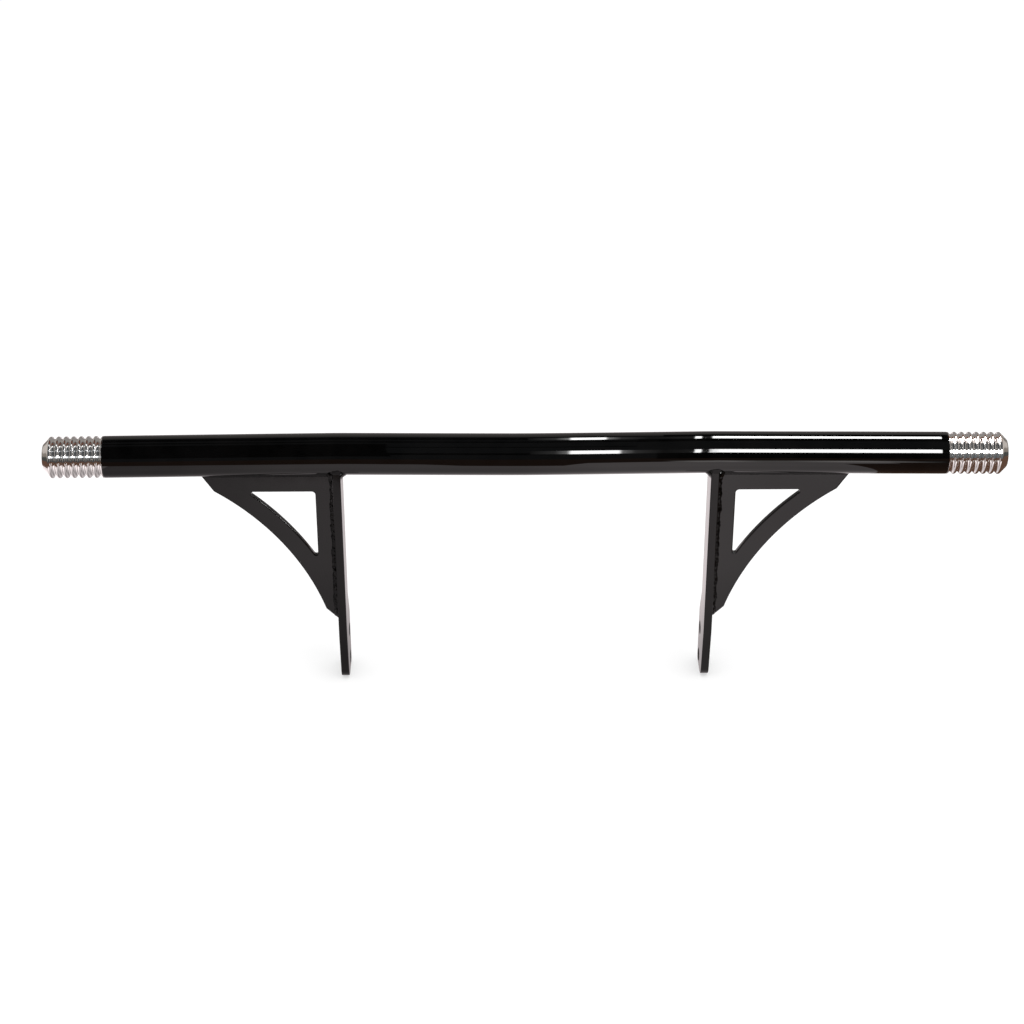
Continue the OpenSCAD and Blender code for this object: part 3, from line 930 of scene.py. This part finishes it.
end_pieces = bpy.data.collections.new("end_pieces")
for side in SIDES:
    end_pieces.objects.link(bpy.data.objects[f"{side}_ridged_slider"])
    end_pieces.objects.link(bpy.data.objects[f"{side}_cap_screw"])


def end_strip(name, elevation_deg, half_angle_deg, near_x, far_x, glow, colour=WHITE, distance=0.21):
    """A softbox that lights only the sliders and their bolts, a little further out than the others."""
    plane = strip_light(name, elevation_deg, half_angle_deg, [(near_x, glow), (far_x, glow)], colour,
                        distance)
    plane.light_linking.receiver_collection = end_pieces


def side_panels(side, sign):
    """Grey panels beyond an end of the bar, darker towards the table, for the slider's nose."""
    x, near, far = sign * 1.2, -1.0, 1.5
    for part, low, high, colour, strength in (("upper", 0.24, 0.9, (1.0, 0.92, 0.86), 0.60),
                                              ("middle", 0.13, 0.24, (1.0, 0.88, 0.78), 0.26),
                                              ("lower", FOOT_Z, 0.13, (0.95, 1.0, 0.95), 0.07)):
        name = f"{side}_panel_{part}"
        reflected(name, [(x, near, low), (x, far, low), (x, far, high), (x, near, high)],
                  even_glow(name, colour, strength))


def soft_light(name, place, size, energy):
    """A square area light aimed at the bar, which the gloss doesn't see."""
    light = bpy.data.lights.new(name, "AREA")
    light.shape = "SQUARE"
    light.size = size
    light.energy = energy
    lamp = bpy.data.objects.new(name, light)
    direction = Vector(place) - Vector((0, 0, 0.1))
    lamp.matrix_world = (Matrix.Translation(place)
                         @ direction.to_track_quat("Z", "Y").to_matrix().to_4x4())
    lamp.visible_camera = False
    lamp.visible_glossy = False
    bpy.context.scene.collection.objects.link(lamp)


pale_floor()
white_wall()
dark_room()
papers()
strip_light("front_strip", 34, 8.5, lamp_row((0.045, 0.085, SOFT_END), (0.149, 0.154, HARD_END),
                                             (0.160, 0.344, HARD_END)))
strip_light("top_strip", 113.5, 7.5, lamp_row((0.043, 0.070, SOFT_END), (0.146, 0.151, HARD_END),
                                              (0.160, 0.350, HARD_END)))
soft_light("soft_overhead", (0.2, -0.6, 2.2), 2.0, 26)

end_strip("left_end_main", 27, 4.5, -0.42, 0.10, 2.1, COOL_WHITE)
end_strip("left_end_fine", 63, 1.8, -0.42, 0.10, 1.3, COOL_WHITE)
end_strip("left_end_top", 94, 4.0, -0.42, 0.10, 1.7)
end_strip("left_end_brown", 116, 9.0, -0.42, 0.10, 0.16, WARM_BROWN)
end_strip("left_end_fill", 48, 34.0, -0.75, -0.12, 0.09, (0.9, 0.95, 1.0), 0.22)
end_strip("right_end_main", 35, 7.0, 0.10, 0.60, 1.35)
end_strip("right_end_top", 98, 9.5, 0.10, 0.46, 1.25, WARM_WHITE)
end_strip("right_end_brown", 125, 14.0, 0.12, 0.75, 0.20, WARM_BROWN)
end_strip("right_end_fill", 10, 15.0, 0.12, 0.75, 0.17, (0.85, 0.93, 1.0), 0.22)
for side, sign in SIDES.items():
    side_panels(side, sign)

world = bpy.data.worlds.new("studio")
bpy.context.scene.world = world
world.use_nodes = True
world.node_tree.nodes["Background"].inputs["Color"].default_value = (1, 1, 1, 1)
world.node_tree.nodes["Background"].inputs["Strength"].default_value = 1.0

bpy.context.scene.view_settings.view_transform = "Standard"


# ---------------------------------------------------------------- camera
def add_camera():
    data = bpy.data.cameras.new("camera")
    data.sensor_width = 36.0
    data.lens = 77.05
    data.clip_start, data.clip_end = 0.05, 100.0
    camera = bpy.data.objects.new("camera", data)
    place = Vector((-25.8, -1483.8, 941.3)) * MM
    target = Vector((-10.4, -14.5, 126.8)) * MM
    camera.matrix_world = (Matrix.Translation(place)
                           @ (target - place).to_track_quat("-Z", "Y").to_matrix().to_4x4())
    bpy.context.scene.collection.objects.link(camera)
    bpy.context.scene.camera = camera


add_camera()
